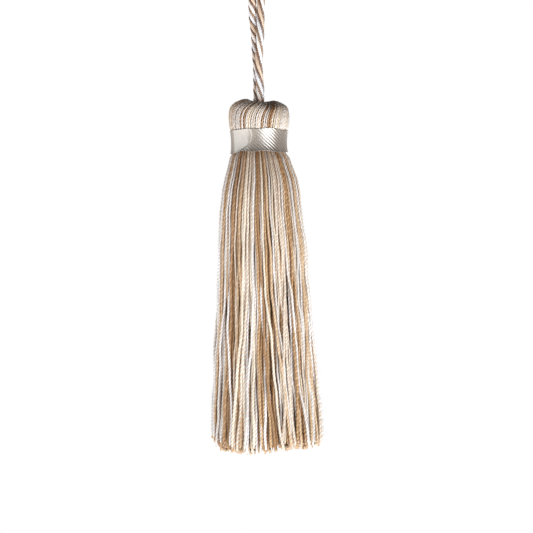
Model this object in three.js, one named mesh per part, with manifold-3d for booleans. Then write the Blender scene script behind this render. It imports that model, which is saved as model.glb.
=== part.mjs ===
// Cushion tassel: yarns turned down over a twisted hanging cord and bound at the neck with
// a satin ribbon. Below the ribbon they hang as a loose skirt.
// Millimetres, +Z up, the front facing -Y. The origin is the inside of the cord loop's top,
// where a hook or a button would hold the tassel.

import * as THREE from 'three';
import { mergeVertices } from 'three/addons/utils/BufferGeometryUtils.js';
import Module from 'manifold-3d';

// Heights of the main levels
const HEAD_CREST = -61.2;
const HEAD_BASE = -72.9;
const BAND_TOP = -74.0;
const BAND_BOTTOM = -82.6;
const NECK_FLOOR = -82.0;
const HEM = -202.4;

// Widths
const HEAD_RADIUS = 12.25;
const NECK_RADIUS = 10.0;
const DIMPLE_RADIUS = 3.9;
const DIMPLE_DEPTH = 5.3;
const CORD_DIAMETER = 3.2;

// Yarns turned over the head, seen as ridges
const HEAD_RIDGES = 54;
const RIDGE_RELIEF = 0.46;
const HEAD_SLANT = 0.1;

// The head's outline from the neck up to the bottom of the dimple that takes the cord
const HEAD_OUTLINE = [
  { radius: 0, height: NECK_FLOOR, relief: 0 },
  { radius: NECK_RADIUS, height: NECK_FLOOR, relief: 0 },
  { radius: NECK_RADIUS, height: HEAD_BASE - 0.8, relief: 0 },
  { radius: HEAD_RADIUS - 0.6, height: HEAD_BASE, relief: 0.5 },
  { radius: HEAD_RADIUS - 0.15, height: HEAD_BASE + 2.4, relief: 1 },
  { radius: HEAD_RADIUS, height: HEAD_BASE + 4.7, relief: 1 },
  { radius: HEAD_RADIUS - 0.55, height: HEAD_BASE + 7.1, relief: 1 },
  { radius: HEAD_RADIUS - 1.8, height: HEAD_BASE + 9.0, relief: 1 },
  { radius: HEAD_RADIUS - 3.4, height: HEAD_CREST - 1.3, relief: 1 },
  { radius: HEAD_RADIUS - 4.9, height: HEAD_CREST - 0.5, relief: 0.9 },
  { radius: 5.6, height: HEAD_CREST, relief: 0.8 },
  { radius: 4.4, height: HEAD_CREST - 0.8, relief: 0.5 },
  { radius: DIMPLE_RADIUS, height: HEAD_CREST - 2.6, relief: 0 },
  { radius: DIMPLE_RADIUS, height: HEAD_CREST - DIMPLE_DEPTH, relief: 0 },
  { radius: 0, height: HEAD_CREST - DIMPLE_DEPTH, relief: 0 },
];

// The skirt, level by level: how far down a strand the level lies, where the skirt's middle
// is, how wide the ring of outermost strands is, a strand's half width, and how far groups
// of strands sway together
const STRANDS = 220;
const SKIRT_TOP = -81.5;
const SKIRT_LEVELS = [
  { down: 0, centre: 0, spread: 9.25, halfWidth: 0.4, sway: 0 },
  { down: 0.031, centre: 0.2, spread: 11.6, halfWidth: 0.46, sway: 0.05 },
  { down: 0.085, centre: 0.6, spread: 13.5, halfWidth: 0.56, sway: 0.15 },
  { down: 0.209, centre: 0.7, spread: 15.6, halfWidth: 0.66, sway: 0.3 },
  { down: 0.524, centre: 1.7, spread: 18.5, halfWidth: 0.8, sway: 0.5 },
  { down: 1, centre: 3.2, spread: 22.1, halfWidth: 0.92, sway: 0.7 },
];
const HEM_SIDE_RISE = 4.0;
const HEM_DEPTH_RISE = 1.5;
const HEM_RAGGEDNESS = 0.7;
const STRAND_WANDER = 0.14;

// The satin ribbon round the neck, a little waisted, with its outer end laid over it aslant
const RIBBON_THICKNESS = 0.7;
const RIBBON_COLUMNS = 56;
const RIBBON_WAIST = 0.5;
const RIBBON_TOP_RADIUS = 11.6;
const RIBBON_BOTTOM_RADIUS = 11.4;
const OVERLAP_RELIEF = 0.3;
const OVERLAP_ANGLE = -0.1;
const OVERLAP_LEAN = 0.045;
const OVERLAP_FADE = 1.6;
const TOP_EDGE_WAVE = 0.25;
const TOP_EDGE_CREST = 0.3;
const BOTTOM_EDGE_WAVE = 0.2;

// The hanging cord: up from the head, round the loop and back down behind
const CORD_PLIES = 3;
const CORD_SIDES = 8;
const CORD_STEP = 1.05;
const PLY_RELIEF = 0.14;
const FRONT_LEG_PITCH = 27;
const BACK_LEG_PITCH = 12.5;
const CORD_ROUTE = [
  [0.5, -1.8, -66.2],
  [0.6, -1.8, -61.0],
  [0.3, -1.8, -55.0],
  [-0.2, -1.8, -48.5],
  [0.1, -1.7, -42.0],
  [0.5, -1.4, -35.5],
  [0.6, -0.95, -29.5],
  [0.7, -0.5, -22.5],
  [1.4, -0.2, -16.5],
  [3.2, 0, -12.0],
  [5.1, 0, -9.2],
  [6.5, 0, -6.4],
  [6.5, 0, -3.5],
  [5.1, 0, -0.75],
  [2.8, 0, 1.0],
  [0, 0, 1.6],
  [-2.8, 0, 1.0],
  [-5.1, 0, -0.75],
  [-6.5, 0, -3.5],
  [-6.5, 0, -6.4],
  [-5.6, 0, -8.9],
  [-4.3, 0, -12.0],
  [-3.1, 0.2, -17.0],
  [-2.7, 0.5, -22.5],
  [-2.4, 0.95, -29.5],
  [-1.6, 1.4, -35.5],
  [-1.3, 1.7, -42.0],
  [-0.8, 1.8, -48.5],
  [-0.7, 1.8, -55.0],
  [-0.65, 1.8, -61.0],
  [-0.6, 1.8, -66.2],
];

const YARN_MATERIAL = new THREE.MeshStandardMaterial({ color: '#d8c8b2', roughness: 0.55, metalness: 0 });
const RIBBON_MATERIAL = new THREE.MeshStandardMaterial({ color: '#c3bab0', roughness: 0.35, metalness: 0 });
const CORD_MATERIAL = new THREE.MeshStandardMaterial({ color: '#e2d6c4', roughness: 0.5, metalness: 0 });

const FULL_TURN = 2 * Math.PI;
const GOLDEN_ANGLE = Math.PI * (3 - Math.sqrt(5));
const FRONT_ANGLE = -Math.PI / 2;

const wasm = await Module();
wasm.setup();

// A repeatable value from -1 to 1 for a strand and a level
function wander(strand, level) {
  const wave = Math.sin(strand * 12.9898 + level * 78.233) * 43758.5453;
  return 2 * (wave - Math.floor(wave)) - 1;
}

// The same surface with its shared points merged and its collapsed triangles left out
function closedSurface(geometry) {
  const bare = new THREE.BufferGeometry();
  bare.setAttribute('position', geometry.getAttribute('position').clone());
  bare.setIndex(geometry.getIndex());
  const merged = mergeVertices(bare, 1e-3);
  const corners = merged.getIndex().array;
  const kept = [];
  for (let i = 0; i < corners.length; i += 3) {
    const [a, b, c] = [corners[i], corners[i + 1], corners[i + 2]];
    if (a !== b && b !== c && c !== a) {
      kept.push(a, b, c);
    }
  }
  merged.setIndex(kept);
  return merged;
}

function solidOf(geometry) {
  const surface = closedSurface(geometry);
  return new wasm.Manifold(new wasm.Mesh({
    numProp: 3,
    vertProperties: new Float32Array(surface.getAttribute('position').array),
    triVerts: new Uint32Array(surface.getIndex().array),
  }));
}

function geometryOf(solid) {
  const mesh = solid.getMesh();
  const geometry = new THREE.BufferGeometry();
  geometry.setAttribute('position', new THREE.BufferAttribute(mesh.vertProperties, 3));
  geometry.setIndex(new THREE.BufferAttribute(mesh.triVerts, 1));
  geometry.computeVertexNormals();
  return geometry;
}

// Turns an outline about the vertical axis, then lets reshape move each point, given its
// angle, its radius, its height and its number along the outline and round the axis
function turned(outline, columns, reshape) {
  const profile = outline.map(({ radius, height }) => new THREE.Vector2(radius, height));
  const geometry = new THREE.LatheGeometry(profile, columns);
  const points = geometry.getAttribute('position');
  for (let i = 0; i < points.count; i += 1) {
    const row = i % profile.length;
    const column = Math.floor(i / profile.length);
    const angle = FRONT_ANGLE + (FULL_TURN * column) / columns;
    const place = reshape(angle, profile[row].x, profile[row].y, row, column);
    points.setXYZ(i, place.radius * Math.cos(place.angle), place.radius * Math.sin(place.angle), place.height);
  }
  return geometry;
}

// Head and neck: one turned body whose outside is the row of yarns, ridge beside ridge
function headAndNeck() {
  const headHeight = HEAD_CREST - HEAD_BASE;
  return turned(HEAD_OUTLINE, 2 * HEAD_RIDGES, (angle, radius, height, row, column) => {
    const side = column % 2 === 0 ? 0.5 : -0.5;
    const relief = side * RIDGE_RELIEF * HEAD_OUTLINE[row].relief;
    const rise = THREE.MathUtils.clamp((height - HEAD_BASE) / headHeight, 0, 1);
    return { angle: angle + HEAD_SLANT * rise, radius: radius + relief, height };
  });
}

// One strand: a three-sided length whose rings follow the skirt's levels. across and deep
// are its place in the bundle, each from -1 to 1.
function strand(number, across, deep) {
  const rings = SKIRT_LEVELS.length - 1;
  const geometry = new THREE.CylinderGeometry(1, 1, 1, 3, rings);
  const sideRise = HEM_SIDE_RISE * Math.abs(across) ** 3;
  const depthRise = HEM_DEPTH_RISE * Math.abs(deep) ** 3;
  const end = HEM + sideRise + depthRise + HEM_RAGGEDNESS * Math.abs(wander(number, 9));
  const turn = FULL_TURN * wander(number, 11);
  const points = geometry.getAttribute('position');
  for (let i = 0; i < points.count; i += 1) {
    const ring = Math.round((0.5 - points.getY(i)) * rings);
    const level = SKIRT_LEVELS[ring];
    const reach = Math.hypot(points.getX(i), points.getZ(i)) * level.halfWidth;
    const direction = Math.atan2(-points.getZ(i), points.getX(i)) + turn;
    const swayAcross = level.sway * Math.sin(3.1 * across + 1.7 * deep + ring);
    const swayDeep = level.sway * Math.cos(2.3 * deep - 1.9 * across + ring);
    const loose = STRAND_WANDER * level.sway;
    const x = level.centre + level.spread * across + swayAcross + loose * wander(number, ring);
    const y = level.spread * deep + swayDeep + loose * wander(number, ring + 20);
    const z = SKIRT_TOP + (end - SKIRT_TOP) * level.down;
    points.setXYZ(i, x + reach * Math.cos(direction), y + reach * Math.sin(direction), z);
  }
  return geometry;
}

// The strands fill a disc evenly, each a golden angle on from the last, so none meets another
function skirtStrands() {
  return Array.from({ length: STRANDS }, (_, number) => {
    const outward = Math.sqrt((number + 0.5) / STRANDS);
    const angle = number * GOLDEN_ANGLE;
    return strand(number, outward * Math.cos(angle), outward * Math.sin(angle));
  });
}

function yarnTassel() {
  const solids = [headAndNeck(), ...skirtStrands()].map(solidOf);
  return geometryOf(wasm.Manifold.union(solids));
}

// The ribbon's outline, from the bottom edge up the outside and down the inside
function ribbonOutline() {
  const height = BAND_TOP - BAND_BOTTOM;
  const outside = [0, 0.12, 0.5, 0.88, 1].map((up) => {
    const straight = THREE.MathUtils.lerp(RIBBON_BOTTOM_RADIUS, RIBBON_TOP_RADIUS, up);
    const waisted = straight - RIBBON_WAIST * (1 - (2 * up - 1) ** 2);
    return { radius: waisted, height: BAND_BOTTOM + height * up };
  });
  const inside = [outside[4], outside[2], outside[0]].map(({ radius, height: level }) => ({
    radius: radius - RIBBON_THICKNESS,
    height: level,
  }));
  return [...outside, ...inside, outside[0]];
}

function neckBand() {
  const outline = ribbonOutline();
  const middle = (BAND_TOP + BAND_BOTTOM) / 2;
  return turned(outline, RIBBON_COLUMNS, (angle, radius, height, row) => {
    const fromFront = angle - FRONT_ANGLE;
    const edge = OVERLAP_ANGLE - OVERLAP_LEAN * (height - middle);
    const past = THREE.MathUtils.euclideanModulo(fromFront - edge, FULL_TURN);
    const lap = past < OVERLAP_FADE ? 1 - past / OVERLAP_FADE : 0;
    const outer = row < 5 || row === outline.length - 1;
    const lift = outer ? OVERLAP_RELIEF * lap : 0;
    const topWave = TOP_EDGE_WAVE * Math.cos(fromFront - TOP_EDGE_CREST);
    const bottomWave = BOTTOM_EDGE_WAVE * Math.cos(2 * fromFront);
    const wave = height > middle ? topWave : bottomWave;
    return { angle, radius: radius + lift, height: height + wave };
  });
}

// How far the cord's plies have turned at a distance along it: the front leg is twisted
// loosely and the back leg tightly, with the loop between them
function plyTurn(distance, length) {
  const half = length / 2;
  const front = Math.min(distance, half) / FRONT_LEG_PITCH;
  const back = Math.max(distance - half, 0) / BACK_LEG_PITCH;
  return FULL_TURN * (front + back);
}

// A tube along the route, its section raised into plies that turn along it
function hangingCord() {
  const route = new THREE.CatmullRomCurve3(CORD_ROUTE.map((point) => new THREE.Vector3(...point)));
  route.arcLengthDivisions = 800;
  const length = route.getLength();
  const steps = Math.round(length / CORD_STEP);
  const radius = CORD_DIAMETER / 2;
  const section = new THREE.Shape(Array.from({ length: CORD_SIDES }, (_, side) => {
    const angle = (FULL_TURN * side) / CORD_SIDES;
    return new THREE.Vector2(radius * Math.cos(angle), radius * Math.sin(angle));
  }));
  const geometry = new THREE.ExtrudeGeometry(section, { steps, extrudePath: route, bevelEnabled: false });
  const rings = Array.from({ length: steps + 1 }, (_, step) => route.getPointAt(step / steps));
  const frames = route.computeFrenetFrames(steps, false);
  const points = geometry.getAttribute('position');
  const offset = new THREE.Vector3();
  for (let i = 0; i < points.count; i += 1) {
    offset.fromBufferAttribute(points, i);
    const step = nearestRing(rings, offset);
    offset.sub(rings[step]);
    const angle = Math.atan2(offset.dot(frames.binormals[step]), offset.dot(frames.normals[step]));
    const turn = plyTurn((length * step) / steps, length);
    const lobe = Math.cos(CORD_PLIES * (angle + turn));
    offset.multiplyScalar(1 - (PLY_RELIEF / 2) * (1 - lobe));
    offset.add(rings[step]);
    points.setXYZ(i, offset.x, offset.y, offset.z);
  }
  return geometry;
}

// The ring that a point of the tube belongs to is the one whose centre is nearest to it
function nearestRing(rings, point) {
  const distances = rings.map((centre) => centre.distanceToSquared(point));
  return distances.indexOf(Math.min(...distances));
}

function piece(name, geometry, material) {
  const mesh = new THREE.Mesh(geometry, material);
  mesh.name = name;
  return mesh;
}

const tassel = new THREE.Group();
tassel.add(piece('yarn_tassel', yarnTassel(), YARN_MATERIAL));
tassel.add(piece('neck_band', closedSurface(neckBand()), RIBBON_MATERIAL));
tassel.add(piece('hanging_cord', closedSurface(hangingCord()), CORD_MATERIAL));

export default tassel;
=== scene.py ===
import math

import bpy
import numpy as np
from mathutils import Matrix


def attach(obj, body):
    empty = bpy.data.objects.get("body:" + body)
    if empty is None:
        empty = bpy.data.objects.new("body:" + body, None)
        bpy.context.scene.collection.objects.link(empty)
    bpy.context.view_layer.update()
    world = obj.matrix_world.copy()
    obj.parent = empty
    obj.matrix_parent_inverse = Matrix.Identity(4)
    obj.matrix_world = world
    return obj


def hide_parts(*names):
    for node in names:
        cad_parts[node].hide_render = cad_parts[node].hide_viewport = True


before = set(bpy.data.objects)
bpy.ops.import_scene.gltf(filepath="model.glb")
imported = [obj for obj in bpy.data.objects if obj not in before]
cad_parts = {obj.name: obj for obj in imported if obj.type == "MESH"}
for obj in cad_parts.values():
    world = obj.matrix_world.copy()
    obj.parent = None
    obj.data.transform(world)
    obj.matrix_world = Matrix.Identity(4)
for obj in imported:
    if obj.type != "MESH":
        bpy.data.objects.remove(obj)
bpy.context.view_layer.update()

# Cushion tassel: two-ply viscose yarns turned down over a twisted cord and bound with satin.
# Metres throughout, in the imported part's frame: the origin is the inside of the cord loop's
# top, +Z is up and -Y faces the viewer.

# View: the camera is level with the tassel and far off, as a long lens sees it
VIEW_WIDTH = 0.2132
VIEW_CENTRE_X = 0.003
VIEW_CENTRE_Z = -0.1286
CAMERA_DISTANCE = 1.6
SENSOR_WIDTH = 36.0
CLIP_END = 20

# Heights of the main levels, as in the part
HEAD_CREST = -0.0612
BAND_TOP = -0.0740
BAND_BOTTOM = -0.0826
SKIRT_TOP = -0.0805
HEM = -0.2020

# The hanging cord's route, from the head's dimple up round the loop and down again
CORD_ROUTE = [
    (0.0005, -0.0018, -0.0662),
    (0.0006, -0.0018, -0.0610),
    (0.0003, -0.0018, -0.0550),
    (-0.0002, -0.0018, -0.0485),
    (0.0001, -0.0017, -0.0420),
    (0.0005, -0.0014, -0.0355),
    (0.0006, -0.00095, -0.0295),
    (0.0007, -0.0005, -0.0225),
    (0.0014, -0.0002, -0.0165),
    (0.0032, 0, -0.0120),
    (0.0051, 0, -0.0092),
    (0.0065, 0, -0.0064),
    (0.0065, 0, -0.0035),
    (0.0051, 0, -0.00075),
    (0.0028, 0, 0.0010),
    (0, 0, 0.0016),
    (-0.0028, 0, 0.0010),
    (-0.0051, 0, -0.00075),
    (-0.0065, 0, -0.0035),
    (-0.0065, 0, -0.0064),
    (-0.0056, 0, -0.0089),
    (-0.0043, 0, -0.0120),
    (-0.0031, 0.0002, -0.0170),
    (-0.0027, 0.0005, -0.0225),
    (-0.0024, 0.00095, -0.0295),
    (-0.0016, 0.0014, -0.0355),
    (-0.0013, 0.0017, -0.0420),
    (-0.0008, 0.0018, -0.0485),
    (-0.0007, 0.0018, -0.0550),
    (-0.00065, 0.0018, -0.0610),
    (-0.0006, 0.0018, -0.0662),
]
CORD_STEP = 0.0003

# Turns of the plies at some distances along the cord: the front leg is the looser twisted
CORD_TWIST = [(0.0, 0.42), (0.0443, 2.53), (0.1007, 6.23), (0.1460, 9.86)]

# Three plies, each of a few yarns, and a thin brown yarn in each groove between them. The
# ridge that a ply's yarn makes is given by places across it, from 0 to 1, and how far out
# each is as a share of the ply's radius.
PLIES = 3
PLY_RADIUS = 0.00074
PLY_CENTRE = 0.00082
PLY_YARNS = 5
PLY_RIDGE = [(0, 0.9), (0.3, 1.0), (0.7, 1.0)]
PLY_YARN_PITCH = 0.0042
FILLER_RADIUS = 0.00047
FILLER_CENTRE = 0.00121
CORD_PEACH = (0.52, 0.37, 0.26)
CORD_WHITE = (0.75, 0.74, 0.725)
CORD_SILVER = (0.63, 0.66, 0.72)
CORD_DARK_BROWN = (0.12, 0.05, 0.024)
CORD_BROWN = (0.13, 0.065, 0.036)
CORD_TAN = (0.20, 0.11, 0.06)
# Painted shade between the ridges of each ply's own yarns
CORD_GROOVE_SHADE = (0.50, 0.40, 0.31)

# Shade on the cord where it goes down into the head's dimple
CORD_SHADE_FROM = -0.0604
CORD_SHADE_DEPTH = 0.0030
CORD_SHADE = (0.78, 0.46, 0.29)

# The skirt's outline, level by level: height, sideways place of its middle, outer radius
SKIRT_OUTLINE = [
    (-0.0805, 0.0000, 0.0098),
    (-0.0828, 0.0001, 0.0106),
    (-0.0854, 0.0004, 0.0122),
    (-0.0886, 0.0006, 0.0131),
    (-0.0936, 0.0009, 0.0147),
    (-0.0986, 0.0009, 0.0157),
    (-0.1068, 0.0009, 0.0165),
    (-0.1224, 0.0015, 0.0178),
    (-0.1312, 0.0016, 0.0180),
    (-0.1524, 0.0023, 0.0192),
    (-0.1708, 0.0027, 0.0200),
    (-0.1892, 0.0033, 0.0214),
    (-0.2020, 0.0034, 0.0225),
]

# How much higher than the lowest yarns the hem ends, at places from -1 to 1 across it
HEM_SHAPE = [
    (-1.0, 0.0062),
    (-0.85, 0.0036),
    (-0.65, 0.0013),
    (-0.3, 0.0002),
    (-0.1, 0.0003),
    (0.1, 0.0013),
    (0.4, 0.0020),
    (0.65, 0.0026),
    (0.85, 0.0031),
    (1.0, 0.0044),
]
HEM_DEPTH_RISE = 0.0007
HEM_RAGGEDNESS = 0.0030

# Yarns: the pitch is the length of one turn of the twist, and the thickness and the pitch
# vary from yarn to yarn
YARN_RADIUS = 0.00049
YARN_THICKNESS = (0.78, 1.12)
YARN_PITCH = 0.0030
PITCH_CHANGE = (0.85, 1.15)
PLY_CONTRAST = (0.05, 0.4)

# The skirt's yarns: those from a share of the bundle outwards are finely made, and the
# inner ones more plainly
SKIRT_YARNS = 450
FINE_FROM = 0.62
MIDDLE_FROM = 0.36
FINE_STEP = 0.0005
MIDDLE_STEP = 0.0007
CORE_STEP = 0.005
CORE_THICKNESS = 1.2

# How the skirt's yarns leave the bundle's middle, swell on the way down and thin at the end.
# Places down the skirt go from 0 at its roots to 1 at its hem.
HOLLOW = 0.64
HOLLOW_BY = 0.3
FLUFF = 0.34
END_FROM = 0.98
END_TAPER = 0.42

# How they wander, in waves of a length and a share, and how they swing, in radians about the
# tassel's middle. Strays swing most and lie over the others.
WANDER = 0.00036
WAVES = [(0.055, 1.0), (0.024, 0.45), (0.011, 0.16)]
LOOSE_BY = 0.5
SWING = 0.02
SWING_FROM = 0.25
STRAYS = 44
STRAY_FROM = 0.94
STRAY_SWING = (0.10, 0.30)
STRAY_LIFT = 0.045
LIFTED_BY = 0.08

# Shade in the gaps between yarns, in the bundle and at the skirt's roots
GAP_SHADE_TINT = (1.08, 0.80, 0.60)
GAP_REACH = 0.0018
GAP_OPEN = (0.05, 0.42)
DEPTH_SHADES = [(1.0, 1.0, 1.0), (0.60, 0.525, 0.47), (0.22, 0.155, 0.125)]
BUNDLE_SHADE = 0.3
ROOT_SHADE = 1.3
ROOT_LENGTH = 0.12

# Section of a two-ply yarn: angle of each point and its distance from the middle. Grooves
# less deep than the least one count as none.
TWO_PLY = [(36, 1.0), (90, 0.60), (144, 1.0), (216, 1.0), (270, 0.60), (324, 1.0)]
TWO_PLY_PLAIN = [(0, 1.0), (90, 0.55), (180, 1.0), (270, 0.55)]
ROUND_CORE = [(0, 1.0), (120, 1.0), (240, 1.0)]
LEAST_GROOVE = 1e-6

# Order of the yarn colours, left to right across the front and across the back: K caramel,
# T tan, C cream, S silver and B beige
SKIRT_CHART = "STSSSTKBKTTCSBCSSKSCKTCSTKBBSTCKBSTTSB"
SKIRT_BACK_CHART = "CTSBKTSSCKBTSCTKSBTCSKTSBCKSTTCSKBTSCS"
HEAD_CHART = "TTBSSTBSSSSSKSKSCCSCSCSKSSKKCCSCCSSCSSBSCSBS"
HEAD_BACK_CHART = "SCTKSCBTSCKTCSBCSTKCSBCTSCKSSCTKSCBTSCKTCSBC"

# Name of each yarn colour, and its deepest and lightest tones
COLOURS = {
    "K": ("caramel", (0.29, 0.153, 0.056), (0.595, 0.398, 0.205)),
    "T": ("tan", (0.48, 0.338, 0.20), (0.71, 0.56, 0.39)),
    "C": ("cream", (0.68, 0.63, 0.535), (0.81, 0.79, 0.715)),
    "S": ("silver", (0.61, 0.60, 0.59), (0.79, 0.82, 0.87)),
    "B": ("beige", (0.57, 0.50, 0.425), (0.75, 0.69, 0.61)),
}
# Painted shade in the grooves between a yarn's plies, as shares of its deepest tone
PAINTED_GROOVE_SHADE = (0.96, 0.7104, 0.5088)
YARN_ROUGHNESS = 0.42
CORE_DEEP = (0.48, 0.29, 0.165)
CORE_LIGHT = (0.72, 0.54, 0.37)
# Painted shade on the inner layers under the head's yarns
CORE_SHADE = (0.20, 0.13, 0.10)

# Noise in the colours: scale, detail and stretch, and how dark and light its clouds are
YARN_CLOUDS = (90.0, 3.0, (1, 1, 0.35))
YARN_CLOUD_SHADES = (0.86, 1.12)
CORD_CLOUDS = (300.0, 2.0, (1, 1, 1))
CORD_CLOUD_SHADES = (0.7, 1.5)
CORE_STREAKS = (700.0, 3.0, (1, 1, 0.05))
SATIN_THREADS = (1500.0, 2.0, (1, 1, 0.2))
NOISE_SPAN = (0.3, 0.7)

# Fine relief: scale, detail and stretch of its noise, then its strength and depth
FIBRE_RELIEF = (2600.0, 2.0, (1, 1, 0.3), 0.25, 0.00006)
CORE_RELIEF = (1500.0, 2.0, (1, 1, 0.1), 0.4, 0.0001)
SATIN_RELIEF = (3500.0, 2.0, (1, 1, 1), 0.15, 0.00004)

# Some yarns leave the chart: how many of the outer and the hidden ones, and how often each
# colour comes instead
OUTER_ODD = 0.10
HIDDEN_ODD = 0.85
OUTER_COLOURS = {"K": 0.3, "T": 0.2, "C": 0.12, "S": 0.18, "B": 0.2}
HIDDEN_COLOURS = {"K": 0.45, "T": 0.35, "B": 0.20}

# The head's yarns: where each lies in its share of the round, how far they slant and thin
# towards the crest, how uneven they lie, and how the crest tilts to the right, leans to the
# left and dips at the front and back
HEAD_YARNS = 88
HEAD_SPACING = (0.35, 0.65)
HEAD_YARN_RADIUS = 0.00045
HEAD_SLANT = 0.52
HEAD_OPEN = 0.34
HEAD_FULL_RADIUS = 0.0112
HEAD_LEAST_CROWDING = 0.45
HEAD_UNEVENNESS = 0.00008
HEAD_TILT = 0.0008
HEAD_LEAN = 0.16
HEAD_SADDLE = 0.0011

# Shade on the head: in the whole of it, more towards the crest, and by turns from yarn to yarn
HEAD_SHADE = 0.5
CREST_SHADE = 0.65
HEAD_UNEVEN_SHADE = 0.5
HEAD_RANDOM_SHADE = 0.2

# Painted shade in a patch of the crest right of the cord, where a shallow hollow would lie in
# shadow
HOLLOW_X = 0.0045
HOLLOW_WIDTH = 0.0026
HOLLOW_RISE = 0.78
HOLLOW_HEIGHT = 0.20
HOLLOW_SHADE = 1.1

# The inner layers under the head's yarns
CORE_COLUMNS = 96
CORE_STEP_UP = 0.0006
CORE_FOOT = [(0.0, -0.0815), (0.0096, -0.0815), (0.0097, -0.0768)]
CORE_INSET = 0.00045
CORE_DROP = 0.0002
CORE_LEAST_RADIUS = 0.0042
CORE_BOTTOM = -0.0655
CORE_GAP = 0.0003

# Distance from the axis and height of the middle of a head yarn, from under the ribbon up
# over the crest and down into the dimple
HEAD_PATH = [
    (0.0099, -0.0765),
    (0.0104, -0.0752),
    (0.0109, -0.0741),
    (0.0114, -0.0728),
    (0.0117, -0.0706),
    (0.0118, -0.0684),
    (0.0115, -0.0658),
    (0.0107, -0.0644),
    (0.0095, -0.0634),
    (0.0080, -0.0626),
    (0.0065, -0.0621),
    (0.0051, -0.0621),
    (0.0043, -0.0627),
    (0.0041, -0.0635),
    (0.0041, -0.0652),
]

# Surroundings: brighter below than above, and a pale floor far under the tassel that glows
# more the further away it is, so that it meets the white behind it
AMBIENT_ABOVE = 0.05
AMBIENT_BELOW = 1.25
AMBIENT_REACH = 0.4
AMBIENT_WARMTH = (1.0, 0.93, 0.86)
FLOOR_HEIGHT = -0.90
FLOOR_REACH = 6.0
FLOOR_GREY = (0.86, 0.86, 0.86)
FLOOR_GLOW = (0.62, 1.0)
GLOW_REACH = (2.5, 5.0)

# Lights: each one's azimuth, elevation, distance, width, height, power and colour
KEY_COLOUR = (0.88, 0.95, 1.0)
SIDE_COLOUR = (0.85, 0.935, 1.0)
FILL_COLOUR = (0.97, 0.98, 1.0)
LIGHTS = {
    "key": (36, -20, 1.7, 1.4, 1.8, 42, KEY_COLOUR),
    "left": (-84, -14, 1.7, 3.0, 2.5, 30, SIDE_COLOUR),
    "fill": (-14, -12, 1.8, 2.4, 2.6, 14.5, FILL_COLOUR),
    "back": (170, -25, 1.7, 1.5, 1.5, 26, KEY_COLOUR),
}

# Ribbon: a little waisted, with its lower edge turned out
RIBBON_SEGMENTS = 720
RIBBON_ROWS = 58
BACK_ROW_STEP = 6
RIBBON_THICKNESS = 0.00035
RIBBON_TOP_RADIUS = 0.0117
RIBBON_BOTTOM_RADIUS = 0.0115
RIBBON_WAIST = 0.0004
RIBBON_FLARE = 0.00015
FLARE_HEIGHT = 0.08
RIBBON_DEEP = (0.105, 0.086, 0.072)
RIBBON_LIGHT = (0.205, 0.170, 0.144)
# Painted shade in the grooves between the ribs
RIBBON_GROOVE_SHADE = (0.055, 0.041, 0.033)

# Its gloss, in the grooves and on the ribs
SATIN_ROUGHNESS = (0.38, 0.24)
SATIN_SPECULAR = (0.6, 1.0)

# Its slanted ribs, which rise and fade out again at angles past the outer end's edge
RIB_PITCH = 0.00135
RIB_ANGLE = math.radians(38)
RIB_RELIEF = 0.000065
RIBS_RISE = 0.35
RIBS_END = 2.2
RIBS_FADE = 0.9
UV_PER_RIB = 0.1

# Its outer end, which lies over it: where its edge runs, how far it stands out, and over
# which angles
LAP_ANGLE = -0.34
LAP_LEAN = 0.40
LAP_BOW = 0.08
LAP_STEP = 0.0001
LAP_RISE = 0.06
LAP_FADE = 1.2

# The ribbon's edges: angle from the front in degrees, bottom and top
RIBBON_EDGES = [
    (-180, -0.0831, -0.0742),
    (-90, -0.0842, -0.0743),
    (-52, -0.0833, -0.0742),
    (-39, -0.0826, -0.0740),
    (-24, -0.0828, -0.0737),
    (-7, -0.0829, -0.0739),
    (12, -0.0825, -0.0736),
    (24, -0.0827, -0.0734),
    (33, -0.0830, -0.0737),
    (48, -0.0831, -0.0742),
    (90, -0.0830, -0.0743),
    (180, -0.0831, -0.0742),
]

# Points on a smooth curve between two given ones, before they are spaced evenly
SPAN_POINTS = 24

RANDOM = np.random.default_rng(17)
FULL_TURN = 2 * math.pi
GOLDEN_ANGLE = math.pi * (3 - math.sqrt(5))


# Camera

def make_camera():
    data = bpy.data.cameras.new("camera")
    data.sensor_width = SENSOR_WIDTH
    data.lens = SENSOR_WIDTH * CAMERA_DISTANCE / VIEW_WIDTH
    data.clip_end = CLIP_END
    camera = bpy.data.objects.new("camera", data)
    camera.location = (VIEW_CENTRE_X, -CAMERA_DISTANCE, VIEW_CENTRE_Z)
    camera.rotation_euler = (math.pi / 2, 0, 0)
    bpy.context.scene.collection.objects.link(camera)
    bpy.context.scene.camera = camera


# Curves and tubes

def smooth_line(points, spacing):
    """Points an even distance apart on a smooth curve through the given ones, and its length."""
    given = np.array(points, float)
    before = 2 * given[0] - given[1]
    after = 2 * given[-1] - given[-2]
    padded = np.vstack([before, given, after])
    t = np.linspace(0, 1, SPAN_POINTS, endpoint=False)[:, None]
    spans = []
    for i in range(len(given) - 1):
        a, b, c, d = padded[i:i + 4]
        bend = 2 * a - 5 * b + 4 * c - d
        turn = -a + 3 * b - 3 * c + d
        spans.append(b + 0.5 * ((c - a) * t + bend * t ** 2 + turn * t ** 3))
    fine = np.vstack([*spans, given[-1:]])
    along = np.concatenate([[0], np.cumsum(np.linalg.norm(np.diff(fine, axis=0), axis=1))])
    at = np.linspace(0, along[-1], round(along[-1] / spacing) + 1)
    line = np.stack([np.interp(at, along, fine[:, k]) for k in range(fine.shape[1])], axis=1)
    return line, along[-1]


def unit(vectors):
    return vectors / np.linalg.norm(vectors, axis=-1, keepdims=True)


def side_directions(lines):
    """Two sideways directions at each point of each line, carried along without turning."""
    ahead = unit(np.gradient(lines, axis=1))
    sides = np.empty_like(lines)
    side = np.broadcast_to(np.array((1.0, 0.0, 0.0)), ahead[:, 0].shape)
    for k in range(lines.shape[1]):
        side = unit(side - np.sum(side * ahead[:, k], axis=-1, keepdims=True) * ahead[:, k])
        sides[:, k] = side
    return sides, np.cross(ahead, sides)


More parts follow.
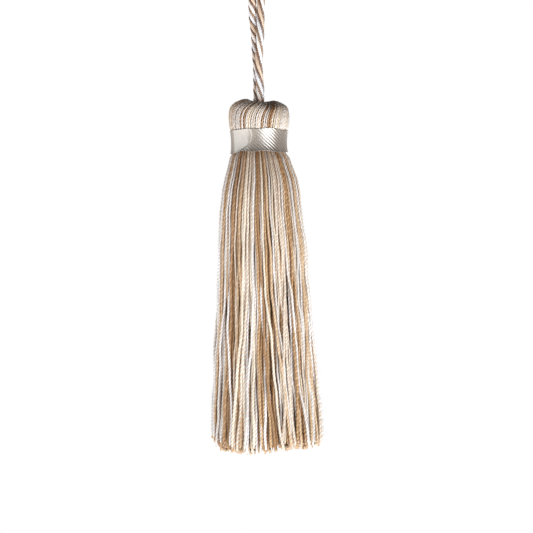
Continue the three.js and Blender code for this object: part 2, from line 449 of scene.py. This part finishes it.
def ring_triangles(number):
    """Triangles that join each ring of points to the next one. The points' numbers are given,
    with the last axis running round a ring and the one before it from ring to ring."""
    here = number[..., :-1, :]
    above = number[..., 1:, :]
    beside = np.roll(here, -1, axis=-1)
    beyond = np.roll(above, -1, axis=-1)
    lower = np.stack([here, beside, above], axis=-1)
    upper = np.stack([beside, beyond, above], axis=-1)
    return np.vstack([lower.reshape(-1, 3), upper.reshape(-1, 3)])


def cap_triangles(first_ring, last_ring):
    """Triangles that close the first and the last ring of each tube."""
    corners = first_ring.shape[1]
    fan = np.arange(1, corners - 1)
    hub = [0] * len(fan)
    first = np.stack([first_ring[:, hub], first_ring[:, fan + 1], first_ring[:, fan]], axis=-1)
    last = np.stack([last_ring[:, hub], last_ring[:, fan], last_ring[:, fan + 1]], axis=-1)
    return np.vstack([first.reshape(-1, 3), last.reshape(-1, 3)])


def tubes(lines, radius, turn, section):
    """Closed tubes along the lines, as points, triangles and two values for each point: its
    crown, 1 on a ply and 0 in the groove between plies, and its ply, from 1 on one side of the
    yarn to -1 on the other. radius and turn hold a value for each point of each line."""
    count, steps, _ = lines.shape
    sides, others = side_directions(lines)
    angles = np.radians([angle for angle, _ in section])
    reach = np.array([distance for _, distance in section])
    corners = len(section)
    heading = turn[:, :, None] + angles
    across = sides[:, :, None] * np.cos(heading)[..., None]
    up = others[:, :, None] * np.sin(heading)[..., None]
    points = lines[:, :, None] + (across + up) * (radius[:, :, None] * reach)[..., None]
    points = points.reshape(-1, 3)
    lowest = reach.min()
    crown = (reach - lowest) / max(1 - lowest, LEAST_GROOVE)
    crowns = np.broadcast_to(crown, (count, steps, corners)).reshape(-1)
    plies = np.broadcast_to(np.cos(angles), (count, steps, corners)).reshape(-1)
    number = np.arange(count * steps * corners).reshape(count, steps, corners)
    triangles = np.vstack([ring_triangles(number), cap_triangles(number[:, 0], number[:, -1])])
    return points, triangles, crowns, plies


def joined(parts):
    """Several (points, triangles, *values) as one."""
    points, triangles, values = [], [], []
    start = 0
    for part in parts:
        points.append(part[0])
        triangles.append(part[1] + start)
        values.append(np.stack(part[2:]))
        start += len(part[0])
    return np.vstack(points), np.vstack(triangles), np.hstack(values)


def add_piece(name, points, triangles, material, node, values=None, names=()):
    """A new object from points and triangles that rides the body and stands for a node."""
    mesh = bpy.data.meshes.new(name)
    mesh.from_pydata(points, [], triangles)
    mesh.shade_smooth()
    for row, value_name in enumerate(names):
        layer = mesh.attributes.new(value_name, "FLOAT", "POINT")
        layer.data.foreach_set("value", np.ascontiguousarray(values[row], np.float32))
    mesh.materials.append(material)
    piece = bpy.data.objects.new(name, mesh)
    bpy.context.scene.collection.objects.link(piece)
    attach(piece, "root")
    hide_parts(node)
    return piece


# Materials

def new_material(name):
    material = bpy.data.materials.new(name)
    material.use_nodes = True
    tree = material.node_tree
    return material, tree, tree.nodes["Principled BSDF"]


def value_of(tree, name):
    node = tree.nodes.new("ShaderNodeAttribute")
    node.attribute_name = name
    return node.outputs["Fac"]


def mixed(tree, share, first, second, blend="MIX"):
    """A mix of two colours. Each is a socket or three numbers, and share a socket or a number."""
    node = tree.nodes.new("ShaderNodeMix")
    node.data_type = "RGBA"
    node.blend_type = blend
    for socket, source in ((node.inputs[6], first), (node.inputs[7], second)):
        if isinstance(source, tuple):
            socket.default_value = (*source, 1)
        else:
            tree.links.new(source, socket)
    if isinstance(share, float):
        node.inputs[0].default_value = share
    else:
        tree.links.new(share, node.inputs[0])
    return node.outputs[2]


def one_of(tree, place, first, middle, last):
    """One of three colours: the first at 0, the middle one at a half and the last at 1."""
    ramp = tree.nodes.new("ShaderNodeValToRGB")
    stops = ramp.color_ramp.elements
    stops[0].color = (*first, 1)
    stops[1].color = (*last, 1)
    stops.new(0.5).color = (*middle, 1)
    tree.links.new(place, ramp.inputs["Fac"])
    return ramp.outputs["Color"]


def noise(tree, scale, detail, stretch):
    place = tree.nodes.new("ShaderNodeTexCoord")
    mapping = tree.nodes.new("ShaderNodeMapping")
    mapping.inputs["Scale"].default_value = stretch
    node = tree.nodes.new("ShaderNodeTexNoise")
    node.inputs["Scale"].default_value = scale
    node.inputs["Detail"].default_value = detail
    tree.links.new(place.outputs["Object"], mapping.inputs["Vector"])
    tree.links.new(mapping.outputs["Vector"], node.inputs["Vector"])
    return node.outputs["Fac"]


def ranged(tree, source, low, high, from_low=0.0, from_high=1.0):
    node = tree.nodes.new("ShaderNodeMapRange")
    node.inputs["From Min"].default_value = from_low
    node.inputs["From Max"].default_value = from_high
    node.inputs["To Min"].default_value = low
    node.inputs["To Max"].default_value = high
    tree.links.new(source, node.inputs["Value"])
    return node.outputs["Result"]


def bump(tree, shader, scale, detail, stretch, strength, distance):
    height = noise(tree, scale, detail, stretch)
    node = tree.nodes.new("ShaderNodeBump")
    node.inputs["Strength"].default_value = strength
    node.inputs["Distance"].default_value = distance
    tree.links.new(height, node.inputs["Height"])
    tree.links.new(node.outputs["Normal"], shader.inputs["Normal"])


def yarn_material(name, deep, light):
    """Lustrous viscose: each yarn a little lighter or deeper, with painted shade between its
    plies.
    """
    material, tree, shader = new_material(name)
    body = mixed(tree, value_of(tree, "tone"), deep, light)
    clouds = ranged(tree, noise(tree, *YARN_CLOUDS), *YARN_CLOUD_SHADES, *NOISE_SPAN)
    clouded = mixed(tree, 1.0, body, clouds, "MULTIPLY")
    # Painted shade in the groove between the plies
    groove = tuple(channel * tint for channel, tint in zip(deep, PAINTED_GROOVE_SHADE))
    grooved = mixed(tree, value_of(tree, "crown"), groove, clouded)
    # Painted shade by each point's value: deep in the bundle, at the skirt's roots and towards the
    # head's crest
    step = ranged(tree, value_of(tree, "painted_shade"), 0, 1, 0, 2)
    deepened = mixed(tree, 1.0, grooved, one_of(tree, step, *DEPTH_SHADES), "MULTIPLY")
    # Painted warm shade where a yarn lies closed in by its neighbours
    gap_shaded = mixed(tree, 1.0, deepened, GAP_SHADE_TINT, "MULTIPLY")
    colour = mixed(tree, openness(tree), gap_shaded, deepened)
    tree.links.new(colour, shader.inputs["Base Color"])
    shader.inputs["Roughness"].default_value = YARN_ROUGHNESS
    shader.inputs["IOR"].default_value = 1.6
    shader.inputs["Specular IOR Level"].default_value = 0.55
    shader.inputs["Sheen Weight"].default_value = 0.1
    shader.inputs["Sheen Roughness"].default_value = 0.4
    bump(tree, shader, *FIBRE_RELIEF)
    return material


def openness(tree):
    """1 where a yarn lies open to the light and 0 deep in a gap between its neighbours."""
    node = tree.nodes.new("ShaderNodeAmbientOcclusion")
    node.samples = 6
    node.inputs["Distance"].default_value = GAP_REACH
    return ranged(tree, node.outputs["AO"], 0, 1, *GAP_OPEN)


def core_material():
    """The inner yarns, duller and with streaks down their length, and painted shade under the
    head.
    """
    material, tree, shader = new_material("inner_yarn")
    colour = mixed(tree, noise(tree, *CORE_STREAKS), CORE_DEEP, CORE_LIGHT)
    shaded = mixed(tree, value_of(tree, "painted_shade"), colour, CORE_SHADE, "MULTIPLY")
    tree.links.new(shaded, shader.inputs["Base Color"])
    shader.inputs["Roughness"].default_value = 0.6
    bump(tree, shader, *CORE_RELIEF)
    return material


def ribbon_material():
    """Champagne satin: the thread floats run aslant, so the gloss is stretched across them."""
    material, tree, shader = new_material("satin_ribbon")
    threads = ranged(tree, noise(tree, *SATIN_THREADS), 0, 1, *NOISE_SPAN)
    colour = mixed(tree, threads, RIBBON_DEEP, RIBBON_LIGHT)
    # Painted shade in the grooves between the ribs
    grooved = mixed(tree, value_of(tree, "crown"), RIBBON_GROOVE_SHADE, colour)
    tree.links.new(grooved, shader.inputs["Base Color"])
    shader.inputs["IOR"].default_value = 2.3
    roughness = ranged(tree, value_of(tree, "crown"), *SATIN_ROUGHNESS)
    tree.links.new(roughness, shader.inputs["Roughness"])
    gloss = ranged(tree, value_of(tree, "crown"), *SATIN_SPECULAR)
    tree.links.new(gloss, shader.inputs["Specular IOR Level"])
    shader.inputs["Specular Tint"].default_value = (1.0, 0.94, 0.88, 1)
    shader.inputs["Anisotropic"].default_value = 0.4
    shader.inputs["Sheen Weight"].default_value = 0.1
    tangent = tree.nodes.new("ShaderNodeTangent")
    tangent.direction_type = "UV_MAP"
    tree.links.new(tangent.outputs["Tangent"], shader.inputs["Tangent"])
    bump(tree, shader, *SATIN_RELIEF)
    return material


# Hanging cord

def ply_turn(along):
    """How far the plies have turned at a distance along the cord."""
    distances, turns = zip(*CORD_TWIST)
    return -FULL_TURN * np.interp(along, distances, turns)


def ply_section():
    """A ply is itself twisted from a few yarns, which show as low ridges."""
    step = 360 / PLY_YARNS
    section = []
    for yarn in range(PLY_YARNS):
        for place, distance in PLY_RIDGE:
            section.append((yarn * step + place * step, distance))
    return section


def make_cord():
    """The cord's plies, wound round its route with a thin yarn in each groove between them."""
    line, length = smooth_line(CORD_ROUTE, CORD_STEP)
    along = np.linspace(0, length, len(line))
    sides, others = side_directions(line[None])
    turn = ply_turn(along)
    material = cord_material()
    parts = []
    for ply in range(PLIES):
        for filler in (False, True):
            centre = FILLER_CENTRE if filler else PLY_CENTRE
            start = FULL_TURN * (ply + (0.5 if filler else 0)) / PLIES
            heading = (turn + start)[:, None]
            place = line + centre * (sides[0] * np.cos(heading) + others[0] * np.sin(heading))
            radius = FILLER_RADIUS if filler else PLY_RADIUS
            section = TWO_PLY if filler else ply_section()
            own_pitch = YARN_PITCH if filler else PLY_YARN_PITCH
            spin = FULL_TURN * along / own_pitch
            points, triangles, crowns, _ = tubes(
                place[None], np.full((1, len(line)), radius), spin[None], section
            )
            tone = np.full(len(points), ply / (PLIES - 1))
            tan = np.full(len(points), 1.0 if filler else 0.0)
            # Painted shade where the cord goes down into the head's dimple
            buried = np.clip((CORD_SHADE_FROM - place[:, 2]) / CORD_SHADE_DEPTH, 0, 1)
            painted_shade = np.repeat(buried, len(section))
            parts.append((points, triangles, crowns, tone, tan, painted_shade))
    points, triangles, values = joined(parts)
    cord = add_piece(
        "twisted_hanging_cord", points, triangles, material, "hanging_cord",
        values, ("crown", "tone", "tan_yarn", "painted_shade"),
    )


def cord_material():
    """Viscose cord: a peach, a white and a silver ply, with brown yarns in the grooves."""
    material, tree, shader = new_material("twisted_cord")
    ply = one_of(tree, value_of(tree, "tone"), CORD_PEACH, CORD_WHITE, CORD_SILVER)
    filler = one_of(tree, value_of(tree, "tone"), CORD_DARK_BROWN, CORD_TAN, CORD_BROWN)
    # Painted shade in the low places between each ply's yarns
    light = mixed(tree, value_of(tree, "crown"), CORD_GROOVE_SHADE, ply)
    clouds = ranged(tree, noise(tree, *CORD_CLOUDS), *CORD_CLOUD_SHADES, *NOISE_SPAN)
    brown = mixed(tree, 1.0, filler, clouds, "MULTIPLY")
    colour = mixed(tree, value_of(tree, "tan_yarn"), light, brown)
    shaded = mixed(tree, value_of(tree, "painted_shade"), colour, CORD_SHADE, "MULTIPLY")
    tree.links.new(shaded, shader.inputs["Base Color"])
    shader.inputs["Roughness"].default_value = 0.32
    shader.inputs["Specular IOR Level"].default_value = 0.9
    bump(tree, shader, *FIBRE_RELIEF)
    return material


# Skirt

def chart_colour(chart, across):
    """The chart's colour for each place from -1 to 1 across the tassel."""
    cell = np.clip(((across + 1) / 2 * len(chart)).astype(int), 0, len(chart) - 1)
    return np.array(list(chart))[cell]


def bundle():
    """Each yarn's place in the skirt, from -1 to 1, its share of the radius and its colour."""
    number = np.arange(SKIRT_YARNS)
    outward = np.sqrt((number + 0.5) / SKIRT_YARNS)
    across = outward * np.cos(number * GOLDEN_ANGLE)
    deep = outward * np.sin(number * GOLDEN_ANGLE)
    front = chart_colour(SKIRT_CHART, across)
    back = chart_colour(SKIRT_BACK_CHART, across)
    colour = np.where(deep < 0, front, back)
    hidden = outward < math.sqrt(FINE_FROM)
    odd_yarn = RANDOM.choice(list(OUTER_COLOURS), SKIRT_YARNS, p=list(OUTER_COLOURS.values()))
    inner_yarn = RANDOM.choice(list(HIDDEN_COLOURS), SKIRT_YARNS, p=list(HIDDEN_COLOURS.values()))
    other = np.where(hidden, inner_yarn, odd_yarn)
    swapped = RANDOM.random(SKIRT_YARNS) < np.where(hidden, HIDDEN_ODD, OUTER_ODD)
    swing = RANDOM.normal(0, SWING, SKIRT_YARNS)
    strays = RANDOM.choice(np.flatnonzero(outward > STRAY_FROM), STRAYS, replace=False)
    swing[strays] = RANDOM.uniform(*STRAY_SWING, STRAYS) * RANDOM.choice((-1, 1), STRAYS)
    return across, deep, outward, np.where(swapped, other, colour), swing


def skirt_lines(across, deep, swing, step):
    """The middle lines of some yarns of the skirt. Those that swing most lie over the others."""
    count = len(across)
    places, rises = zip(*HEM_SHAPE)
    rise = np.interp(across, places, rises) + HEM_DEPTH_RISE * np.abs(deep) ** 3
    ends = HEM + rise + HEM_RAGGEDNESS * (RANDOM.random(count) - 0.5)
    down = np.linspace(0, 1, round((SKIRT_TOP - HEM) / step) + 1)
    height = SKIRT_TOP + (ends - SKIRT_TOP)[:, None] * down
    levels = np.array(SKIRT_OUTLINE)[::-1]
    centre = np.interp(height, levels[:, 0], levels[:, 1])
    spread = np.interp(height, levels[:, 0], levels[:, 2]) - YARN_RADIUS
    loose = np.clip(down / LOOSE_BY, 0, 1) ** 0.8
    outward = np.hypot(across, deep)[:, None]
    hollow = outward ** (-HOLLOW * np.clip(down / HOLLOW_BY, 0, 1))
    drift = swing[:, None] * np.clip((down - SWING_FROM) / (1 - SWING_FROM), 0, 1) ** 1.5
    place = np.arctan2(deep, across)[:, None] + drift
    lift = 1 + STRAY_LIFT * np.clip(np.abs(drift) / LIFTED_BY, 0, 1)
    distance = spread * hollow * outward * lift
    x = centre + distance * np.cos(place)
    y = distance * np.sin(place)
    lines = np.stack([x, y, height], axis=-1)
    for axis in (0, 1):
        for wavelength, share in WAVES:
            phase = FULL_TURN * RANDOM.random((count, 1))
            wave = np.sin(FULL_TURN * height / wavelength + phase)
            lines[..., axis] += WANDER * share * loose * wave
    return lines


def yarn_tubes(lines, section, radius=YARN_RADIUS, painted_shade=0.0):
    """Twisted yarns along the lines, with a tone for each yarn and the given painted shade at each
    point.
    """
    count, steps, _ = lines.shape
    length = np.linalg.norm(np.diff(lines, axis=1), axis=-1)
    along = np.concatenate([np.zeros((count, 1)), np.cumsum(length, axis=1)], axis=1)
    pitch = YARN_PITCH * RANDOM.uniform(*PITCH_CHANGE, (count, 1))
    start = FULL_TURN * RANDOM.random((count, 1))
    turn = start + FULL_TURN * along / pitch
    thickness = radius * RANDOM.uniform(*YARN_THICKNESS, (count, 1)) * np.ones((1, steps))
    points, triangles, crowns, plies = tubes(lines, thickness, turn, section)
    tone = np.repeat(RANDOM.uniform(0.0, 1.0, count), steps * len(section))
    contrast = np.repeat(RANDOM.uniform(*PLY_CONTRAST, count), steps * len(section))
    tone = np.clip(tone + contrast * plies, 0, 1)
    painted_shades = np.repeat(painted_shade * np.ones((count, steps)), len(section))
    return points, triangles, crowns, tone, painted_shades


def skirt_tubes(across, deep, swing, section, step):
    """Some yarns of the skirt, which swell on the way down and thin at the end."""
    lines = skirt_lines(across, deep, swing, step)
    down = np.linspace(0, 1, lines.shape[1])
    inward = 1 - (across ** 2 + deep ** 2)[:, None]
    # Painted shade, more towards the bundle's middle and at the skirt's roots
    painted_shade = inward * BUNDLE_SHADE + ROOT_SHADE * np.exp(-down / ROOT_LENGTH)
    taper = 1 - END_TAPER * np.clip((down - END_FROM) / (1 - END_FROM), 0, 1)
    return yarn_tubes(lines, section, YARN_RADIUS * (1 + FLUFF * down) * taper, painted_shade)


def skirt_parts():
    """Yarns of the skirt by colour and side: fine ones outside, plainer ones further in."""
    across, deep, outward, colour, swing = bundle()
    share = outward ** 2
    grades = [
        (share >= FINE_FROM, TWO_PLY, FINE_STEP),
        ((share >= MIDDLE_FROM) & (share < FINE_FROM), TWO_PLY_PLAIN, MIDDLE_STEP),
    ]
    parts = {}
    for chosen, section, step in grades:
        for letter in COLOURS:
            for side, there in (("front", deep < 0), ("back", deep >= 0)):
                these = chosen & there & (colour == letter)
                if these.any():
                    tube = skirt_tubes(across[these], deep[these], swing[these], section, step)
                    parts.setdefault((letter, side), []).append(tube)
    inner = share < MIDDLE_FROM
    lines = skirt_lines(across[inner], deep[inner], swing[inner], CORE_STEP)
    core = yarn_tubes(lines, ROUND_CORE, YARN_RADIUS * CORE_THICKNESS)
    return parts, core


# Head

def head_lines():
    """The middle lines of the yarns turned over the head, and each one's thickness along it."""
    profile, _ = smooth_line(HEAD_PATH, FINE_STEP)
    number = np.arange(HEAD_YARNS)
    place = number + RANDOM.uniform(*HEAD_SPACING, HEAD_YARNS)
    angle = math.pi + FULL_TURN * place / HEAD_YARNS
    rise = np.clip((profile[:, 1] - BAND_TOP) / (HEAD_CREST - BAND_TOP), 0, 1)
    crest = np.argmax(profile[:, 1])
    rise[crest:] = 1
    heading = angle[:, None] + HEAD_SLANT * rise ** 3
    uneven = RANDOM.normal(0, HEAD_UNEVENNESS, (HEAD_YARNS, 1)) * np.ones(len(profile))
    distance = (profile[:, 0] + uneven) * head_lean(heading, rise)
    x = distance * np.cos(heading)
    y = distance * np.sin(heading)
    z = profile[:, 1] + uneven * 0.5 - head_drop(x, heading) * rise ** 2
    crowding = np.clip(profile[:, 0] / HEAD_FULL_RADIUS, HEAD_LEAST_CROWDING, 1)
    return np.stack([x, y, z], axis=-1), crowding * (1 - HEAD_OPEN * rise ** 3), rise


def head_lean(heading, rise):
    """How much nearer the cord the left side of the crest lies."""
    return 1 - HEAD_LEAN * np.clip(-np.cos(heading), 0, 1) * rise ** 6


def head_drop(x, heading):
    """How much lower the head's crest lies at a place: to the right, and at front and back."""
    return HEAD_TILT * x / RIBBON_TOP_RADIUS + HEAD_SADDLE * np.sin(heading) ** 2


def head_parts():
    """Yarns of the head by colour and side. Every second one lies in more shade."""
    lines, crowding, rise = head_lines()
    colour = np.array(list(HEAD_CHART + HEAD_BACK_CHART))
    number = np.arange(HEAD_YARNS)
    front = number < len(HEAD_CHART)
    shade = CREST_SHADE + HEAD_UNEVEN_SHADE * np.where(number % 2, 1, -1)
    shade = (shade + HEAD_RANDOM_SHADE * RANDOM.uniform(-1, 1, HEAD_YARNS))[:, None]
    parts = {}
    for letter in COLOURS:
        for side, there in (("front", front), ("back", ~front)):
            these = there & (colour == letter)
            if these.any():
                thickness = HEAD_YARN_RADIUS * crowding
                # Painted shade on the head, more towards the crest and by turns from yarn to yarn
                painted_shade = HEAD_SHADE + shade[these] * rise ** 2
                painted_shade = painted_shade + hollow_shade(lines[these, :, 0], rise)
                parts[letter, side] = yarn_tubes(lines[these], TWO_PLY, thickness, painted_shade)
    return parts


def hollow_shade(x, rise):
    """Painted shade right of the cord, high on the crest, where a shallow hollow would lie in
    shadow.
    """
    beside = (x - HOLLOW_X) / HOLLOW_WIDTH
    below = (rise - HOLLOW_RISE) / HOLLOW_HEIGHT
    return HOLLOW_SHADE * np.exp(-beside ** 2 - below ** 2)


def head_core():
    """The inner layers of the bundle, seen only between the head's yarns."""
    profile, _ = smooth_line(HEAD_PATH, CORE_STEP_UP)
    outline = list(CORE_FOOT)
    for radius, height in profile[:-2]:
        outline.append((max(radius - CORE_INSET, CORE_LEAST_RADIUS), height - CORE_DROP))
    outline += [(CORE_LEAST_RADIUS, CORE_BOTTOM), (0.0, CORE_BOTTOM)]
    outline = np.array(outline)
    angle = FULL_TURN * np.arange(CORE_COLUMNS) / CORE_COLUMNS
    crown = np.clip((outline[:, 1] - BAND_TOP) / (HEAD_CREST - BAND_TOP), 0, 1) ** 2
    distance = outline[:, :1] * head_lean(angle, crown[:, None] ** 0.5)
    x = distance * np.cos(angle)
    y = distance * np.sin(angle)
    z = outline[:, 1:] - (head_drop(x, angle) + CORE_GAP) * crown[:, None]
    points = np.stack([x, y, z], axis=-1).reshape(-1, 3)
    number = np.arange(len(points)).reshape(len(outline), CORE_COLUMNS)
    ones = np.ones(len(points))
    # Crown, tone, and full painted shade
    return points, ring_triangles(number), ones, ones * 0.5, ones


def make_yarns():
    """One piece for each colour and side, of skirt and head yarns, and one for the inner yarns."""
    skirt, core = skirt_parts()
    head = head_parts()
    for letter, (name, deep, light) in COLOURS.items():
        material = yarn_material(f"{name}_yarn", deep, light)
        for side in ("front", "back"):
            points, triangles, values = joined([*skirt[letter, side], head[letter, side]])
            add_piece(
                f"{name}_yarns_{side}", points, triangles, material,
                "yarn_tassel", values, ("crown", "tone", "painted_shade"),
            )
    points, triangles, values = joined([core, head_core()])
    add_piece(
        "inner_yarns", points, triangles, core_material(), "yarn_tassel",
        values, ("crown", "tone", "painted_shade"),
    )


# Ribbon

def ribbon_surface(angle, up):
    """Distance from the axis, height and rib crown of the ribbon's outside. angle is from the
    front, and up goes from 0 at the bottom edge to 1 at the top edge."""
    straight = RIBBON_BOTTOM_RADIUS + (RIBBON_TOP_RADIUS - RIBBON_BOTTOM_RADIUS) * up
    flare = RIBBON_FLARE * np.exp(-up / FLARE_HEIGHT)
    distance = straight - RIBBON_WAIST * (1 - (2 * up - 1) ** 2) + flare
    places, bottoms, tops = zip(*RIBBON_EDGES)
    bottom = np.interp(np.degrees(angle), places, bottoms)
    top = np.interp(np.degrees(angle), places, tops)
    height = bottom + (top - bottom) * up
    phase = (RIBBON_TOP_RADIUS * math.tan(RIB_ANGLE) * angle + height) / RIB_PITCH
    rib = 0.5 + 0.5 * np.cos(FULL_TURN * phase)
    past = np.mod(angle - lap_edge(up), FULL_TURN)
    lap = LAP_STEP * np.exp(-past / LAP_FADE) * np.clip(past / LAP_RISE, 0, 1)
    ribbed = np.clip(past / RIBS_RISE, 0, 1) * np.clip((RIBS_END - past) / RIBS_FADE, 0, 1)
    distance = distance + lap + RIB_RELIEF * (rib - 1) * ribbed
    return distance, height, 1 - (1 - rib) * ribbed


def lap_edge(up):
    """Angle from the front at which the ribbon's outer end begins. It runs aslant and curved."""
    return LAP_ANGLE - LAP_LEAN * (1 - up) ** 3 + LAP_BOW * np.sin(math.pi * up)


def make_ribbon():
    """The ribbon as one closed ring: its outside, and fewer rows of points for its inside."""
    angle = FULL_TURN * np.arange(RIBBON_SEGMENTS) / RIBBON_SEGMENTS - math.pi
    up = np.linspace(0, 1, RIBBON_ROWS)
    grid_angle, grid_up = np.meshgrid(angle, up, indexing="ij")
    distance, height, crown = ribbon_surface(grid_angle, grid_up)
    back = distance[:, ::-BACK_ROW_STEP] - RIBBON_THICKNESS
    distance = np.hstack([distance, back])
    height = np.hstack([height, height[:, ::-BACK_ROW_STEP]])
    crown = np.hstack([crown, np.ones_like(back)])
    uv_up = np.hstack([grid_up, grid_up[:, ::-BACK_ROW_STEP]])
    x = distance * np.sin(angle)[:, None]
    y = -distance * np.cos(angle)[:, None]
    points = np.stack([x, y, height], -1).reshape(-1, 3)
    rows = distance.shape[1]
    number = np.arange(len(points)).reshape(RIBBON_SEGMENTS, rows)
    beside = np.roll(number, -1, 0)
    above = np.roll(number, -1, 1)
    beyond = np.roll(beside, -1, 1)
    triangles = np.vstack([
        np.stack([number, beside, beyond], -1).reshape(-1, 3),
        np.stack([number, beyond, above], -1).reshape(-1, 3),
    ])
    ribbon = add_piece(
        "satin_neck_ribbon", points, triangles, ribbon_material(), "neck_band",
        [crown.reshape(-1)], ("crown",),
    )
    slant_uv(ribbon.data, np.repeat(angle, rows), uv_up.reshape(-1))


def slant_uv(mesh, angle, up):
    """A UV map whose first direction runs along the ribs."""
    arc = RIBBON_TOP_RADIUS * angle
    height = up * (BAND_TOP - BAND_BOTTOM)
    u = arc * math.cos(RIB_ANGLE) - height * math.sin(RIB_ANGLE)
    v = arc * math.sin(RIB_ANGLE) + height * math.cos(RIB_ANGLE)
    corners = np.empty(len(mesh.loops), np.int32)
    mesh.loops.foreach_get("vertex_index", corners)
    layer = mesh.uv_layers.new(name="threads")
    uv = np.stack([u, v], -1)[corners] / RIB_PITCH * UV_PER_RIB
    layer.data.foreach_set("uv", uv.reshape(-1))


# Stage and light

def make_floor():
    """A plain pale floor that casts no light or shadow on the tassel and isn't mirrored."""
    mesh = bpy.data.meshes.new("floor")
    sides = [(-1, -1), (1, -1), (1, 1), (-1, 1)]
    corners = [(FLOOR_REACH * x, FLOOR_REACH * y, FLOOR_HEIGHT) for x, y in sides]
    mesh.from_pydata(corners, [], [(0, 1, 2, 3)])
    floor = bpy.data.objects.new("floor", mesh)
    bpy.context.scene.collection.objects.link(floor)
    material, tree, shader = new_material("pale_floor")
    place = tree.nodes.new("ShaderNodeTexCoord")
    distance = tree.nodes.new("ShaderNodeVectorMath")
    distance.operation = "LENGTH"
    tree.links.new(place.outputs["Object"], distance.inputs[0])
    glow = ranged(tree, distance.outputs["Value"], *FLOOR_GLOW, *GLOW_REACH)
    shader.inputs["Base Color"].default_value = (*FLOOR_GREY, 1)
    shader.inputs["Roughness"].default_value = 0.9
    shader.inputs["Emission Color"].default_value = (1, 1, 1, 1)
    tree.links.new(glow, shader.inputs["Emission Strength"])
    mesh.materials.append(material)
    floor.visible_diffuse = False
    floor.visible_glossy = False
    floor.visible_shadow = False


def make_light(name, azimuth, elevation, distance, width, height, power, colour):
    """A soft light aimed at the tassel. Azimuth turns from the viewer to the right. The fill
    lights the gaps between yarns, but nothing mirrors it: that keeps the satin's middle dark."""
    data = bpy.data.lights.new(name, "AREA")
    data.shape = "RECTANGLE"
    data.size = width
    data.size_y = height
    data.energy = power
    data.color = colour
    light = bpy.data.objects.new(name, data)
    turn = math.radians(azimuth)
    rise = math.radians(elevation)
    light.location = (
        VIEW_CENTRE_X + distance * math.sin(turn) * math.cos(rise),
        -distance * math.cos(turn) * math.cos(rise),
        VIEW_CENTRE_Z + distance * math.sin(rise),
    )
    light.rotation_euler = (math.pi / 2 - rise, 0, turn)
    light.visible_camera = False
    light.visible_glossy = name != "fill"
    bpy.context.scene.collection.objects.link(light)


def make_world():
    """White to the camera. The light it sheds is warmer, and comes mostly from below."""
    world = bpy.data.worlds.new("studio")
    world.use_nodes = True
    tree = world.node_tree
    background = tree.nodes["Background"]
    direction = tree.nodes.new("ShaderNodeTexCoord")
    parts = tree.nodes.new("ShaderNodeSeparateXYZ")
    tree.links.new(direction.outputs["Generated"], parts.inputs["Vector"])
    up = parts.outputs["Z"]
    ambient = ranged(tree, up, AMBIENT_BELOW, AMBIENT_ABOVE, -AMBIENT_REACH, AMBIENT_REACH)
    seen = tree.nodes.new("ShaderNodeLightPath")
    strength = tree.nodes.new("ShaderNodeMix")
    strength.inputs["B"].default_value = 1.0
    tree.links.new(ambient, strength.inputs["A"])
    tree.links.new(seen.outputs["Is Camera Ray"], strength.inputs["Factor"])
    tree.links.new(strength.outputs["Result"], background.inputs["Strength"])
    colour = mixed(tree, seen.outputs["Is Camera Ray"], AMBIENT_WARMTH, (1.0, 1.0, 1.0))
    tree.links.new(colour, background.inputs["Color"])
    bpy.context.scene.world = world


def make_studio():
    make_floor()
    make_world()
    for name, values in LIGHTS.items():
        make_light(name, *values)
    bpy.context.scene.view_settings.view_transform = "Standard"


make_camera()
make_cord()
make_yarns()
make_ribbon()
make_studio()
